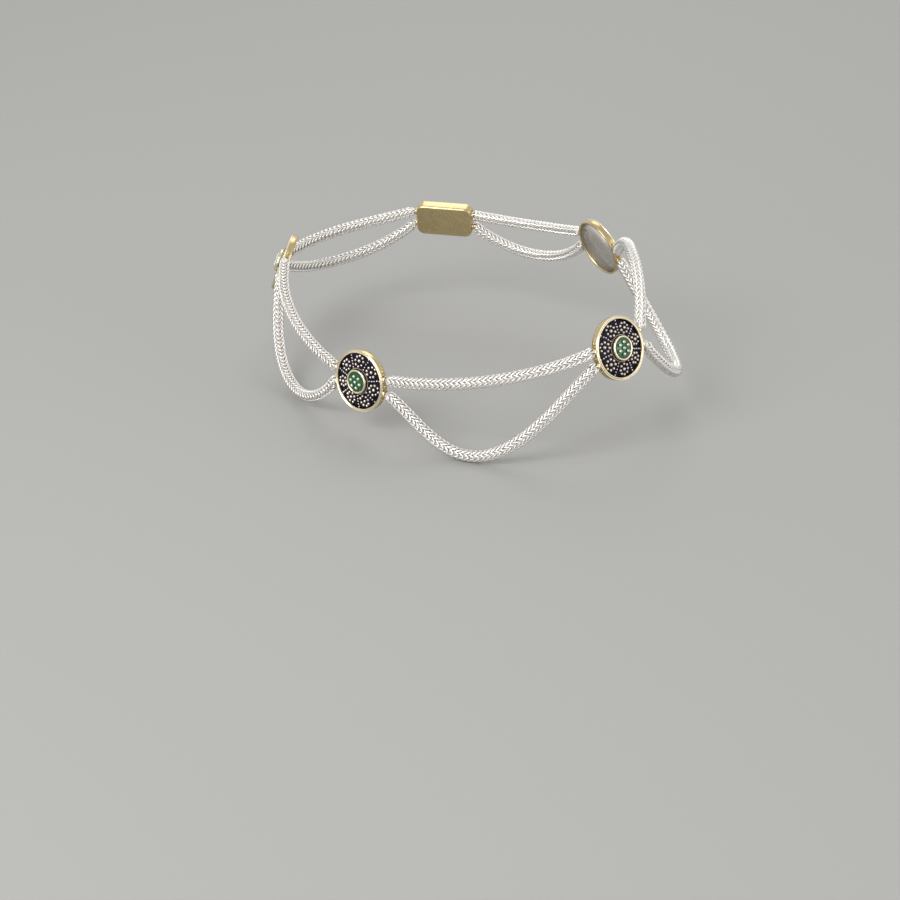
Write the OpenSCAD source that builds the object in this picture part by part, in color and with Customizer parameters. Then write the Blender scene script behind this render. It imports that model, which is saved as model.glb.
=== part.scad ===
// Anklet of round medallions joined by double strands of woven silver chain.
// Millimetres, +Z up. The origin is the middle of the loop, on the axis of the ankle:
// -Y is the front of the loop, +X its right side, and the back carries the clasp.

/* [Loop] */
// Mean radius of the loop, measured where the pieces lie against the ankle
loop_r = 36.9; // [33:0.1:42]
// How far the loop is from round: half the difference of its reaches
oval = 6.6; // [3:0.2:8]
// Direction in which the loop reaches furthest, from the front towards the right
oval_turn = 43; // [0:1:90]
// Outward slope of the ankle, for each millimetre down
flare_mid = 0.25; // [0:0.05:0.4]
// Slope added on the right side and taken off on the left
flare_side = 0.15; // [0:0.05:0.2]

/* [Medallion] */
// Radius of the gold wall
bezel_r = 6.05; // [5.9:0.05:7]
// Height of the gold wall
wall_h = 1.5; // [1.5:0.1:2]
// Thickness of the gold wall
wall_t = 0.4; // [0.3:0.05:0.6]
// Width of the rim seen from the front
lip_w = 0.6; // [0.45:0.05:0.8]
// Space under the medallion, to the ankle
back_gap = 0.3; // [0:0.1:1]
// Radius of the gold ring round the enamel
collet_r = 2.35; // [2.2:0.05:2.5]
// Wall of the gold ring
collet_t = 0.4; // [0.3:0.05:0.5]
// Rise of the silver plate from its edge to its middle
dome_h = 0.8; // [0.6:0.05:1.2]

/* [Granulation] */
// Rosettes round the plate
rosettes = 7; // [6:1:8]
// Grains round each rosette
petals = 8; // [6:1:8]
// Distance of a rosette from the middle of the plate
rosette_at = 4; // [3.9:0.05:4.05]
// Radius of a rosette's ring of grains
rosette_r = 1.05; // [0.95:0.05:1.1]
// Radius of a grain in that ring
petal_r = 0.28; // [0.18:0.01:0.28]
// Radius of a rosette's middle grain
heart_r = 0.4; // [0.3:0.01:0.42]
// Grains in each row between two rosettes
row_grains = 5; // [3:1:5]
// Radius of a grain in those rows
row_r = 0.23; // [0.13:0.01:0.23]

/* [Chain] */
// Radius of a woven strand
chain_r = 1.15; // [1:0.05:1.3]
// Radius of a strand's end, where it enters the gold
neck_r = 0.5; // [0.4:0.05:0.55]
// Length of the taper from the full strand to its end
neck_l = 1.7; // [1.3:0.1:2]
// Half the distance between the two strands at a medallion
strand_y = 1.4; // [1.2:0.05:1.6]

/* [Clasp] */
// Length of the clasp along the loop
clasp_l = 12; // [9:0.5:15]
// Height of the clasp
clasp_w = 7; // [6:0.5:9]
// Thickness of the clasp
clasp_t = 2.6; // [2.2:0.1:3.2]
// Radius of its corners
clasp_corner = 1.6; // [1:0.1:2]

/* [Hidden] */

$fn = 64;
GOLD = [0.86, 0.70, 0.34];
SILVER = [0.80, 0.79, 0.77];
DARK_SILVER = [0.22, 0.20, 0.28];
GREEN = [0.02, 0.25, 0.15];

// The stations round the loop: medallions 1 to 4, then the clasp at the back.
// along: millimetres round the loop from the front; lift: height above the middle of the loop;
// turn and lean: degrees by which the face swings to the right and looks up; roll: in its own plane;
// spin: degrees from the right-hand side of the face to the first rosette
AT_ALONG = 0;
AT_LIFT = 1;
AT_TURN = 2;
AT_LEAN = 3;
AT_ROLL = 4;
AT_SPIN = 5;
loop_length = 2 * PI * loop_r;
bay = 49.5;
first = -83.5;
clasp_along = (first + 3 * bay + loop_length + first) / 2;
STATIONS = [
    [first,                 -0.7, 5,   22,   14, 20],
    [first + bay - 0.7,     -7.7, 1,   5.4,  3,  37],
    [first + 2 * bay + 0.5, 1.7,  4.7, 19.1, 5,  5],
    [first + 3 * bay,       5.5,  0,   20,   0,  12],
    [clasp_along,           2.5,  0,   14,   0,  0]
];
CLASP = 4;

// The bays between them: sag of the upper and the lower strand below a level line,
// and how pointed the lower curve is (0 is a parabola, below 0 is rounder)
BAY_UPPER = 0;
BAY_LOWER = 1;
BAY_POINT = 2;
BAYS = [
    [0.8,  10.8, -0.3],
    [1.2,  12.4, 0.6],
    [-7.4, 13,   0],
    [0.8,  5.5,  0],
    [0.8,  5.5,  0]
];

// Small sizes that follow from the ones above
rim_in = bezel_r - lip_w;
cavity_r = bezel_r - wall_t;
fit_gap = 0.05;
plate_r = cavity_r - fit_gap;
plate_back = 0.2;
plate_edge = 1;
dome_r = (plate_r * plate_r + dome_h * dome_h) / (2 * dome_h);
dome_low = plate_edge + dome_h - dome_r;
seat_r = collet_r + fit_gap;
seat_z = dome_top(seat_r);
collet_h = 0.65;
enamel_r = collet_r - collet_t - fit_gap;
enamel_edge = 0.45;
enamel_rise = 0.12;
post_r = 0.2;
post_hole_r = post_r + fit_gap;
center_ring_r = 1.12;
center_grains = 6;
center_grain_r = 0.33;
center_grain_rise = 0.24;
center_turn = 8;
post_h = fit_gap + enamel_edge + enamel_rise + center_grain_rise;
socket_z = wall_h / 2;
socket_r = 0.72;
socket_out = 0.35;
bore_r = neck_r + 0.1;
bore_in = 0.5;
neck_in = 0.3;
neck_out = 0.9;
lug_r = 0.32;
lug_sunk = 0.03;
lug_step = 1.38;

// Height of the domed plate at a distance from its middle
function dome_top(r) = dome_low + sqrt(dome_r * dome_r - r * r);

// The loop follows an oval with a known reach in each facing direction a (degrees from the front)
function facing(a) = [sin(a), -cos(a)];
function sideways(a) = [cos(a), sin(a)];
function reach(a) = loop_r + oval * cos(2 * (a - oval_turn));
function reach_slope(a) = -2 * oval * sin(2 * (a - oval_turn));
function oval_point(a) = reach(a) * facing(a) + reach_slope(a) * sideways(a);

// Length round the oval from the front to facing direction a, and the way back
function along_at(a) = loop_r * a * PI / 180 - 1.5 * oval * (sin(2 * (a - oval_turn)) + sin(2 * oval_turn));
function facing_at(along, low = -360, high = 480, steps = 30) =
    let (mid = (low + high) / 2)
    steps == 0 ? mid
    : along_at(mid) < along ? facing_at(along, mid, high, steps - 1)
    : facing_at(along, low, mid, steps - 1);

// A point at a given length round the loop, height z and distance off the ankle
function flare(a) = flare_mid + flare_side * sin(a);
function on_ankle(along, z, off) =
    let (a = facing_at(along), xy = oval_point(a) + (off - flare(a) * z) * facing(a))
    [xy[0], xy[1], z];

// The frame of a station: its outward, right-hand and upward directions, and its place
function outward(s) =
    let (a = facing_at(s[AT_ALONG]) + s[AT_TURN])
    [sin(a) * cos(s[AT_LEAN]), -cos(a) * cos(s[AT_LEAN]), sin(s[AT_LEAN])];
function level(s) = let (a = facing_at(s[AT_ALONG]) + s[AT_TURN]) [cos(a), sin(a), 0];
function rightward(s) = level(s) * cos(s[AT_ROLL]) + cross(outward(s), level(s)) * sin(s[AT_ROLL]);
function upward(s) = cross(outward(s), rightward(s));
function place(s) = on_ankle(s[AT_ALONG], s[AT_LIFT], back_gap);

// Half length of a station along the loop, to the outer face of its sockets
function half_length(i) = i == CLASP ? clasp_l / 2 + socket_out : bezel_r + socket_out;
function socket_height(i) = i == CLASP ? clasp_t / 2 : socket_z;

// The mouth of a socket: side is -1 or 1 along the loop, up is -1 or 1
function mouth(i, side, up) =
    let (s = STATIONS[i])
    place(s) + rightward(s) * side * half_length(i) + upward(s) * up * strand_y + outward(s) * socket_height(i);

// Route of a strand from station i to station j, t from 0 to 1
function dip(t, point) = let (p = 4 * t * (1 - t)) p * (1 - point) + p * p * point;
function far_along(i, j) = STATIONS[j][AT_ALONG] + (j < i ? loop_length : 0);
function bare_route(i, j, up, sag, point, t) =
    let (
        a = mouth(i, 1, up),
        b = mouth(j, -1, up),
        start = STATIONS[i][AT_ALONG] + half_length(i),
        stop = far_along(i, j) - half_length(j)
    )
    on_ankle(start + (stop - start) * t, a[2] + (b[2] - a[2]) * t - sag * dip(t, point), chain_r);
function route(i, j, up, sag, point, t) =
    bare_route(i, j, up, sag, point, t)
    + pow(1 - t, 3) * (mouth(i, 1, up) - bare_route(i, j, up, sag, point, 0))
    + pow(t, 3) * (mouth(j, -1, up) - bare_route(i, j, up, sag, point, 1));

// Put a piece, drawn face up round the origin, where a station says
module at_station(i) {
    s = STATIONS[i];
    x = rightward(s);
    y = upward(s);
    n = outward(s);
    p = place(s);
    multmatrix([
        [x[0], y[0], n[0], p[0]],
        [x[1], y[1], n[1], p[1]],
        [x[2], y[2], n[2], p[2]],
        [0, 0, 0, 1]
    ]) children();
}

// Copies at the four sockets of a medallion or the clasp
module at_sockets(x) {
    for (side = [-1, 1], up = [-1, 1])
        translate([side * x, up * strand_y, 0])
            rotate([0, side * 90, 0])
                children();
}

// Gold wall with a turned-in rim, and the sockets and soldered grains where the strands enter
module bezel(i) {
    rim_low = wall_h - 0.25;
    edge = 0.12;
    at_station(i) color(GOLD) difference() {
        union() {
            rotate_extrude() polygon([
                [cavity_r, 0],
                [bezel_r - edge, 0],
                [bezel_r, edge],
                [bezel_r, wall_h - edge],
                [bezel_r - edge, wall_h],
                [rim_in + edge, wall_h],
                [rim_in, wall_h - edge],
                [rim_in, rim_low],
                [cavity_r, rim_low - 0.15]
            ]);
            translate([0, 0, socket_z]) {
                at_sockets(bezel_r - wall_t)
                    cylinder(r = socket_r, h = wall_t + socket_out);
                for (side = [-1, 1], k = [-1 : 1])
                    rotate([0, 0, side * 90 - 90 + k * lug_angle()])
                        translate([bezel_r - lug_sunk, 0, 0])
                            sphere(r = lug_r);
            }
        }
        translate([0, 0, socket_z])
            at_sockets(bezel_r + socket_out - bore_in)
                cylinder(r = bore_r, h = bore_in + 1);
        translate([0, 0, -1])
            cylinder(r = cavity_r, h = rim_low + 0.8);
    }
}
function lug_angle() = asin(2 * lug_step / bezel_r);

// Domed silver plate with its soldered grains, and the posts that pass the enamel
module plate(i) {
    at_station(i) color(DARK_SILVER) union() {
        difference() {
            intersection() {
                translate([0, 0, plate_back])
                    cylinder(r = plate_r, h = plate_edge + dome_h);
                translate([0, 0, dome_low])
                    sphere(r = dome_r);
            }
            translate([0, 0, seat_z])
                cylinder(r = seat_r, h = dome_h);
        }
        for (k = [0 : rosettes - 1])
            rotate([0, 0, STATIONS[i][AT_SPIN] + k * 360 / rosettes]) {
                rosette();
                rotate([0, 0, 180 / rosettes])
                    grain_row();
            }
        for (p = center_points(STATIONS[i][AT_SPIN]))
            translate([p[0], p[1], 0]) {
                translate([0, 0, seat_z - 0.1])
                    cylinder(r = post_r, h = 0.1 + post_h);
                translate([0, 0, seat_z + post_h])
                    sphere(r = center_grain_r);
            }
    }
}

// A grain set on the dome, a little more than half of it showing
module grain(x, y, r) {
    translate([x, y, dome_top(norm([x, y])) + 0.1 * r])
        sphere(r = r);
}
module rosette() {
    grain(rosette_at, 0, heart_r);
    for (k = [0 : petals - 1])
        grain(rosette_at + rosette_r * cos(k * 360 / petals), rosette_r * sin(k * 360 / petals), petal_r);
}
module grain_row() {
    for (k = [0 : row_grains - 1])
        grain(row_start() + k * row_step(), 0, row_r);
}
function row_start() = seat_r + 0.5;
function row_step() = (plate_r - row_start() - 2 * row_r) / (row_grains - 1);
function center_points(spin) = concat(
    [[0, 0]],
    [
        for (k = [0 : center_grains - 1])
            let (a = spin + center_turn + k * 360 / center_grains)
            center_ring_r * [cos(a), sin(a)]
    ]
);

// Gold ring round the enamel
module collet(i) {
    edge = 0.1;
    at_station(i) color(GOLD)
        translate([0, 0, seat_z + fit_gap])
            rotate_extrude() polygon([
                [collet_r - collet_t, 0],
                [collet_r, 0],
                [collet_r, collet_h - edge],
                [collet_r - edge, collet_h],
                [collet_r - collet_t + edge, collet_h],
                [collet_r - collet_t, collet_h - edge]
            ]);
}

// Green enamel, a little higher in the middle, with a hole round each post
module enamel(i) {
    at_station(i) color(GREEN)
        translate([0, 0, seat_z + fit_gap])
            difference() {
                rotate_extrude() polygon([
                    [0, 0],
                    [enamel_r, 0],
                    [enamel_r, enamel_edge],
                    [enamel_r * 0.6, enamel_edge + enamel_rise * 0.7],
                    [0, enamel_edge + enamel_rise]
                ]);
                for (p = center_points(STATIONS[i][AT_SPIN]))
                    translate([p[0], p[1], -1])
                        cylinder(r = post_hole_r, h = 4);
            }
}

// One closed tube through the given points, each with its own radius, eight sides round
module swept_tube(points, radii) {
    sides = 8;
    last = len(points) - 1;
    away = [for (k = [0 : last]) unit(points[min(k + 1, last)] - points[max(k - 1, 0)])];
    across = [for (k = [0 : last]) unit(cross(away[k], [0, 0, 1]))];
    over = [for (k = [0 : last]) cross(across[k], away[k])];
    rings = [
        for (k = [0 : last], j = [0 : sides - 1])
            let (w = (j + 0.5) * 360 / sides)
            points[k] + radii[k] * (across[k] * cos(w) + over[k] * sin(w))
    ];
    walls = [
        for (k = [0 : last - 1], j = [0 : sides - 1], half = [0, 1])
            let (a = k * sides + j, b = k * sides + (j + 1) % sides)
            half == 0 ? [a, b, b + sides] : [a, b + sides, a + sides]
    ];
    start_cap = [[for (j = [sides - 1 : -1 : 0]) j]];
    end_cap = [[for (j = [0 : sides - 1]) last * sides + j]];
    polyhedron(points = rings, faces = concat(walls, start_cap, end_cap), convexity = 6);
}
function unit(v) = v / norm(v);

// A strand from station i to station j: its two necks go into the sockets
module strand(i, j, up, steps) {
    sag = BAYS[i][up > 0 ? BAY_UPPER : BAY_LOWER];
    point = up > 0 ? 0 : BAYS[i][BAY_POINT];
    line = [for (k = [0 : steps]) route(i, j, up, sag, point, k / steps)];
    length = norm(line[1] - line[0]) * steps;
    t_neck = neck_l / length;
    free = [for (k = [0 : steps]) route(i, j, up, sag, point, t_neck + (1 - 2 * t_neck) * k / steps)];
    a = mouth(i, 1, up);
    b = mouth(j, -1, up);
    points = concat(
        [a - rightward(STATIONS[i]) * neck_in, a + rightward(STATIONS[i]) * neck_out],
        free,
        [b - rightward(STATIONS[j]) * neck_out, b + rightward(STATIONS[j]) * neck_in]
    );
    radii = concat([neck_r, neck_r], [for (k = [0 : steps]) chain_r], [neck_r, neck_r]);
    color(SILVER) swept_tube(points, radii);
}

// Plain closed clasp, a rounded bar with a socket for each strand
module clasp() {
    at_station(CLASP) color(GOLD) difference() {
        union() {
            linear_extrude(height = clasp_t)
                rounded_plan(clasp_l, clasp_w);
            translate([0, 0, clasp_t / 2])
                at_sockets(clasp_l / 2 - 0.2)
                    cylinder(r = socket_r, h = socket_out + 0.2);
        }
        translate([0, 0, clasp_t / 2])
            at_sockets(clasp_l / 2 + socket_out - bore_in)
                cylinder(r = bore_r, h = bore_in + 1);
    }
}
module rounded_plan(l, w) {
    square([l - 2 * clasp_corner, w], center = true);
    square([l, w - 2 * clasp_corner], center = true);
    for (sx = [-1, 1], sy = [-1, 1])
        translate([sx * (l / 2 - clasp_corner), sy * (w / 2 - clasp_corner)])
            circle(r = clasp_corner);
}

bezel(0);  // bezel_1
bezel(1);  // bezel_2
bezel(2);  // bezel_3
bezel(3);  // bezel_4
plate(0);  // plate_1
plate(1);  // plate_2
plate(2);  // plate_3
plate(3);  // plate_4
collet(0);  // collet_1
collet(1);  // collet_2
collet(2);  // collet_3
collet(3);  // collet_4
enamel(0);  // enamel_1
enamel(1);  // enamel_2
enamel(2);  // enamel_3
enamel(3);  // enamel_4
strand(0, 1, 1, 6);  // upper_chain_12
strand(1, 2, 1, 6);  // upper_chain_23
strand(2, 3, 1, 6);  // upper_chain_34
strand(3, 4, 1, 4);  // upper_chain_45
strand(4, 0, 1, 4);  // upper_chain_51
strand(0, 1, -1, 8);  // lower_chain_12
strand(1, 2, -1, 8);  // lower_chain_23
strand(2, 3, -1, 8);  // lower_chain_34
strand(3, 4, -1, 5);  // lower_chain_45
strand(4, 0, -1, 5);  // lower_chain_51
clasp();
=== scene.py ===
"""Anklet of round granulated medallions joined by double strands of woven silver chain.

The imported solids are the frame. Every piece here is modelled in metres in the same place:
+Z is up, -Y is the front of the loop and the origin is the middle of the loop.
"""

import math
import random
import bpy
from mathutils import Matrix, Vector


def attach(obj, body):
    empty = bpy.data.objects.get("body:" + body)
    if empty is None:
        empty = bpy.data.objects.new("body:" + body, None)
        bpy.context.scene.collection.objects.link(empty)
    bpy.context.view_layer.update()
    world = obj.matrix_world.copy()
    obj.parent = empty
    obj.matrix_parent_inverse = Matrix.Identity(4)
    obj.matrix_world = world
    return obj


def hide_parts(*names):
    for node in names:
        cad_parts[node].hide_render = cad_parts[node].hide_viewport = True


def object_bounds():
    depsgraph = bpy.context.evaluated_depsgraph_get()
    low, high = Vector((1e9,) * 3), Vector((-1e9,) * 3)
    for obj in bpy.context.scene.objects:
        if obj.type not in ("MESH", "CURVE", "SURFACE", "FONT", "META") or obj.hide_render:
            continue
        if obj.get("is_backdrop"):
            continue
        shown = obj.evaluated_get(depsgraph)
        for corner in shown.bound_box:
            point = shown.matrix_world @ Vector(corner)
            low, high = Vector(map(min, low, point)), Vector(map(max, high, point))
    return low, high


bl_info = {
    "name": "Woven chain anklet",
    "version": (1, 0, 0),
    "blender": (4, 5, 0),
    "location": "3D View > Sidebar > Anklet",
    "description": "Granulated medallions in gold walls, joined by strands of woven silver chain",
    "category": "Add Mesh",
}

from collections import namedtuple

import bmesh
import bpy
import numpy as np
from bpy.props import FloatProperty, FloatVectorProperty, IntProperty, PointerProperty
from mathutils import Matrix, Vector, noise

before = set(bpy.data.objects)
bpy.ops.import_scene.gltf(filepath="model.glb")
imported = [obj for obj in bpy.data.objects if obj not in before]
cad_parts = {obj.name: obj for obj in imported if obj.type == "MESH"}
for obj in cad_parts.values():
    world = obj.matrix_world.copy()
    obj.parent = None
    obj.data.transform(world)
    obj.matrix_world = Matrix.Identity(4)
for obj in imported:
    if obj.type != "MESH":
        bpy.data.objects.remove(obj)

MM = 0.001
BODY = "root"

# The loop: an oval round the ankle, whose reach and slope depend on the direction
LOOP_RADIUS = 36.9 * MM
OVAL = 6.6 * MM
OVAL_TURN = math.radians(43)
FLARE_MIDDLE = 0.25
FLARE_SIDE = 0.15
LOOP_LENGTH = 2 * math.pi * LOOP_RADIUS
BAY = 49.5 * MM
FIRST = -83.5 * MM

# The stations: medallions 1 to 4, then the clasp. Angles are in degrees
Station = namedtuple("Station", "along lift turn lean roll spin")
STATIONS = [
    Station(FIRST, -0.7 * MM, 5, 22, 14, 20),
    Station(FIRST + BAY - 0.7 * MM, -7.7 * MM, 1, 5.4, 3, 37),
    Station(FIRST + 2 * BAY + 0.5 * MM, 1.7 * MM, 4.7, 19.1, 5, 5),
    Station(FIRST + 3 * BAY, 5.5 * MM, 0, 20, 0, 12),
    Station(FIRST + (3 * BAY + LOOP_LENGTH) / 2, 2.5 * MM, 0, 14, 0, 0),
]
CLASP = 4
MEDALLIONS = STATIONS[:CLASP]

# The bays between them: sag of the upper and the lower strand, and how pointed the lower is
Bay = namedtuple("Bay", "upper lower point")
BAYS = [
    Bay(0.8 * MM, 10.8 * MM, -0.3),
    Bay(1.2 * MM, 12.4 * MM, 0.6),
    Bay(-7.4 * MM, 13 * MM, 0),
    Bay(0.8 * MM, 5.5 * MM, 0),
    Bay(0.8 * MM, 5.5 * MM, 0),
]

# Sizes of the medallions and the clasp, as in the solids
BACK_GAP = 0.3 * MM
WALL_RADIUS = 6.05 * MM
WALL_HEIGHT = 1.5 * MM
PLATE_RADIUS = 5.6 * MM
PLATE_BACK = 0.2 * MM
PLATE_EDGE = 1.0 * MM
DOME_HEIGHT = 0.8 * MM
COLLET_RADIUS = 2.35 * MM
COLLET_WALL = 0.4 * MM
SEAT_RADIUS = COLLET_RADIUS + 0.05 * MM
ENAMEL_RADIUS = 1.95 * MM
ENAMEL_EDGE = 0.5 * MM
ENAMEL_RISE = 0.12 * MM
SOCKET_OUT = 0.35 * MM
SOCKET_RADIUS = 0.72 * MM
BORE_RADIUS = 0.6 * MM
BORE_DEPTH = 0.5 * MM
NECK_IN = 0.3 * MM
STRAND_RADIUS = 1.15 * MM
STRAND_OFFSET = 1.4 * MM
LUG_RADIUS = 0.32 * MM
LUG_AT = 6.02 * MM
LUG_STEP = 1.38 * MM
CLASP_LENGTH = 12 * MM
CLASP_WIDTH = 7 * MM
CLASP_THICKNESS = 2.6 * MM
CLASP_CORNER = 1.6 * MM


class ChainSettings(bpy.types.PropertyGroup):
    """Sizes of the woven chain"""

    wire: FloatProperty(
        name="Wire", description="Thickness of the wire of a link",
        default=0.41 * MM, unit="LENGTH",
    )
    stitch: FloatProperty(
        name="Stitch", description="Length of one stitch along the strand",
        default=1.03 * MM, unit="LENGTH",
    )
    reach: FloatProperty(
        name="Reach", description="Height of a folded link, from waist to tip",
        default=2.6 * MM, unit="LENGTH",
    )
    waist: FloatProperty(
        name="Waist", description="Half the width of a link at its waist",
        default=0.22 * MM, unit="LENGTH",
    )
    core: FloatProperty(
        name="Core", description="Radius of the inner layer of the weave",
        default=0.87 * MM, unit="LENGTH",
    )
    unevenness: FloatProperty(
        name="Unevenness", description="Turn of a link from its neat place",
        default=math.radians(3), subtype="ANGLE",
    )


class GranulationSettings(bpy.types.PropertyGroup):
    """Numbers and sizes of the soldered grains"""

    rosettes: IntProperty(name="Rosettes", description="Rosettes round a plate", default=7, min=3)
    petals: IntProperty(name="Petals", description="Grains round a rosette", default=8, min=3)
    rosette_at: FloatProperty(
        name="Rosette at", description="Middle of the plate to a rosette",
        default=4.0 * MM, unit="LENGTH",
    )
    ring: FloatProperty(
        name="Ring", description="Radius of a rosette's ring of grains",
        default=0.97 * MM, unit="LENGTH",
    )
    petal: FloatProperty(
        name="Petal", description="Radius of a grain in a ring",
        default=0.30 * MM, unit="LENGTH",
    )
    heart: FloatProperty(
        name="Heart", description="Radius of a rosette's middle grain",
        default=0.37 * MM, unit="LENGTH",
    )
    row_grains: IntProperty(
        name="Row grains", description="Grains in a row between rosettes",
        default=5, min=2,
    )
    row_grain: FloatProperty(
        name="Row grain", description="Radius of a grain in a row",
        default=0.2 * MM, unit="LENGTH",
    )


class FinishSettings(bpy.types.PropertyGroup):
    """Colours of the metals and the enamel"""

    gold: FloatVectorProperty(
        name="Gold", description="Colour of the gold",
        default=(0.60, 0.485, 0.26), subtype="COLOR", min=0, max=1,
    )
    # Paler colour of the polished rims, a painted highlight
    rim: FloatVectorProperty(
        name="Rim", description="Colour of the polished rims",
        default=(0.95, 0.86, 0.61), subtype="COLOR", min=0, max=1,
    )
    silver: FloatVectorProperty(
        name="Silver", description="Colour of the bright silver",
        default=(0.965, 0.945, 0.915), subtype="COLOR", min=0, max=1,
    )
    tarnish: FloatVectorProperty(
        name="Tarnish", description="Colour between the stitches",
        default=(0.70, 0.655, 0.605), subtype="COLOR", min=0, max=1,
    )
    grain: FloatVectorProperty(
        name="Grain", description="Colour of the grains' tops",
        default=(0.92, 0.87, 0.80), subtype="COLOR", min=0, max=1,
    )
    # Colour towards the grains' foot: bronze tarnish with painted shade
    bronze_and_shade: FloatVectorProperty(
        name="Bronze", description="Colour of the grains' sides",
        default=(0.23, 0.165, 0.12), subtype="COLOR", min=0, max=1,
    )
    ground: FloatVectorProperty(
        name="Ground", description="Colour of the blackened plate",
        default=(0.004, 0.003, 0.012), subtype="COLOR", min=0, max=1,
    )
    bloom: FloatVectorProperty(
        name="Bloom", description="Blue of the blackened plate",
        default=(0.014, 0.010, 0.05), subtype="COLOR", min=0, max=1,
    )
    enamel: FloatVectorProperty(
        name="Enamel", description="Colour of the enamel",
        default=(0.004, 0.10, 0.022), subtype="COLOR", min=0, max=1,
    )


class StudioSettings(bpy.types.PropertyGroup):
    """Floor, lights and camera"""

    floor: FloatVectorProperty(
        name="Floor", description="Colour of the floor",
        default=(0.36, 0.36, 0.35), subtype="COLOR", min=0, max=1,
    )
    key_power: FloatProperty(
        name="Key light", description="Power of the key light",
        default=2.0, unit="POWER",
    )
    fill_power: FloatProperty(
        name="Fill light", description="Power of the fill light and of the one behind",
        default=0.6, unit="POWER",
    )
    front_power: FloatProperty(
        name="Front light", description="Power of the low front light",
        default=1.0, unit="POWER",
    )
    sky: FloatProperty(name="Sky", description="Strength of the light from all round", default=0.72)
    distance: FloatProperty(
        name="Distance", description="Middle of the loop to the camera",
        default=460 * MM, unit="LENGTH",
    )
    tilt: FloatProperty(
        name="Tilt", description="Angle that the camera looks down",
        default=math.radians(25), subtype="ANGLE",
    )
    side_step: FloatProperty(
        name="Side step", description="Camera's place to the right of the middle",
        default=-2.74 * MM, unit="LENGTH",
    )
    rise: FloatProperty(
        name="Rise", description="Camera's place above the middle, across its view",
        default=-31.28 * MM, unit="LENGTH",
    )
    lens: FloatProperty(name="Lens", description="Focal length in millimetres", default=92.0)


# Places round the loop


def facing(angle):
    """Level direction away from the ankle, at an angle from the front towards the right."""
    return Vector((math.sin(angle), -math.cos(angle), 0))


def sideways(angle):
    """Level direction round the loop, square to the facing direction."""
    return Vector((math.cos(angle), math.sin(angle), 0))


def oval_point(angle):
    """Point of the oval that faces at an angle."""
    turned = 2 * (angle - OVAL_TURN)
    out = (LOOP_RADIUS + OVAL * math.cos(turned)) * facing(angle)
    return out - 2 * OVAL * math.sin(turned) * sideways(angle)


def along_at(angle):
    """Length round the oval from the front to the point that faces at an angle."""
    return LOOP_RADIUS * angle - 1.5 * OVAL * (math.sin(2 * (angle - OVAL_TURN)) + math.sin(2 * OVAL_TURN))


def facing_at(along):
    """Facing angle at a length round the oval, by halving."""
    low, high = math.radians(-360), math.radians(480)
    for _ in range(40):
        middle = (low + high) / 2
        if along_at(middle) < along:
            low = middle
        else:
            high = middle
    return (low + high) / 2


def on_ankle(along, z, off):
    """Point at a length round the loop, a height and a distance off the ankle."""
    angle = facing_at(along)
    flare = FLARE_MIDDLE + FLARE_SIDE * math.sin(angle)
    point = oval_point(angle) + (off - flare * z) * facing(angle)
    point.z = z
    return point


def axes(station):
    """Rightward, upward and outward directions of a station."""
    angle = facing_at(station.along) + math.radians(station.turn)
    lean, roll = math.radians(station.lean), math.radians(station.roll)
    level = sideways(angle)
    out = facing(angle) * math.cos(lean) + Vector((0, 0, math.sin(lean)))
    right = level * math.cos(roll) + out.cross(level) * math.sin(roll)
    return right, out.cross(right), out


def place(station):
    """Point that the middle of a station's back is at."""
    return on_ankle(station.along, station.lift, BACK_GAP)


def station_matrix(station):
    """Puts a piece, drawn face up round the origin, where the station is."""
    matrix = Matrix(axes(station)).transposed().to_4x4()
    matrix.translation = place(station)
    return matrix


def half_length(i):
    """Middle of station i to the mouths of its sockets."""
    return (CLASP_LENGTH / 2 if i == CLASP else WALL_RADIUS) + SOCKET_OUT


def mouth(i, side, level):
    """Mouth of a socket of station i; side is -1 or 1 along the loop, level is -1 or 1."""
    right, up, out = axes(STATIONS[i])
    height = CLASP_THICKNESS / 2 if i == CLASP else WALL_HEIGHT / 2
    return place(STATIONS[i]) + right * side * half_length(i) + up * level * STRAND_OFFSET + out * height


def next_station(i):
    """Number of the station after station i, round the loop."""
    return (i + 1) % len(STATIONS)


def strand_route(i, level, count):
    """Points of the strand from station i to the next, and the level outward direction at each."""
    j = next_station(i)
    sag = BAYS[i].upper if level > 0 else BAYS[i].lower
    point = 0 if level > 0 else BAYS[i].point
    first, last = mouth(i, 1, level), mouth(j, -1, level)
    start = STATIONS[i].along + half_length(i)
    stop = STATIONS[j].along + (LOOP_LENGTH if j < i else 0) - half_length(j)

    def bare(t):
        swag = 4 * t * (1 - t)
        z = first.z + (last.z - first.z) * t - sag * (swag * (1 - point) + swag * swag * point)
        return on_ankle(start + (stop - start) * t, z, STRAND_RADIUS)

    miss_first, miss_last = first - bare(0), last - bare(1)
    points, outs = [], []
    for k in range(count + 1):
        t = k / count
        points.append(bare(t) + (1 - t) ** 3 * miss_first + t**3 * miss_last)
        outs.append(facing(facing_at(start + (stop - start) * t)))
    return points, outs


def ease(points, direction, reach):
    """Turns the first stretch of a route so that it starts in the given direction."""
    length, count = 0.0, 0
    while length < reach:
        length += (points[count + 1] - points[count]).length
        count += 1
    first, last = points[0], points[count]
    heading = (points[count + 1] - points[count - 1]).normalized()
    after_first, before_last = first + direction * length / 3, last - heading * length / 3
    for k in range(1, count):
        t = k / count
        points[k] = (
            (1 - t) ** 3 * first + 3 * t * (1 - t) ** 2 * after_first
            + 3 * t * t * (1 - t) * before_last + t**3 * last
        )


# Mesh helpers


def add_mesh(name, mesh, finish, slot, *nodes):
    """Makes a mesh an object that rides on the body and stands for CAD nodes."""
    mesh.shade_smooth()
    mesh.materials.append(finish_material(finish))
    piece = bpy.data.objects.new(name, mesh)
    bpy.context.scene.collection.objects.link(piece)
    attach(piece, BODY)
    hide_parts(*nodes)
    return piece


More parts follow.
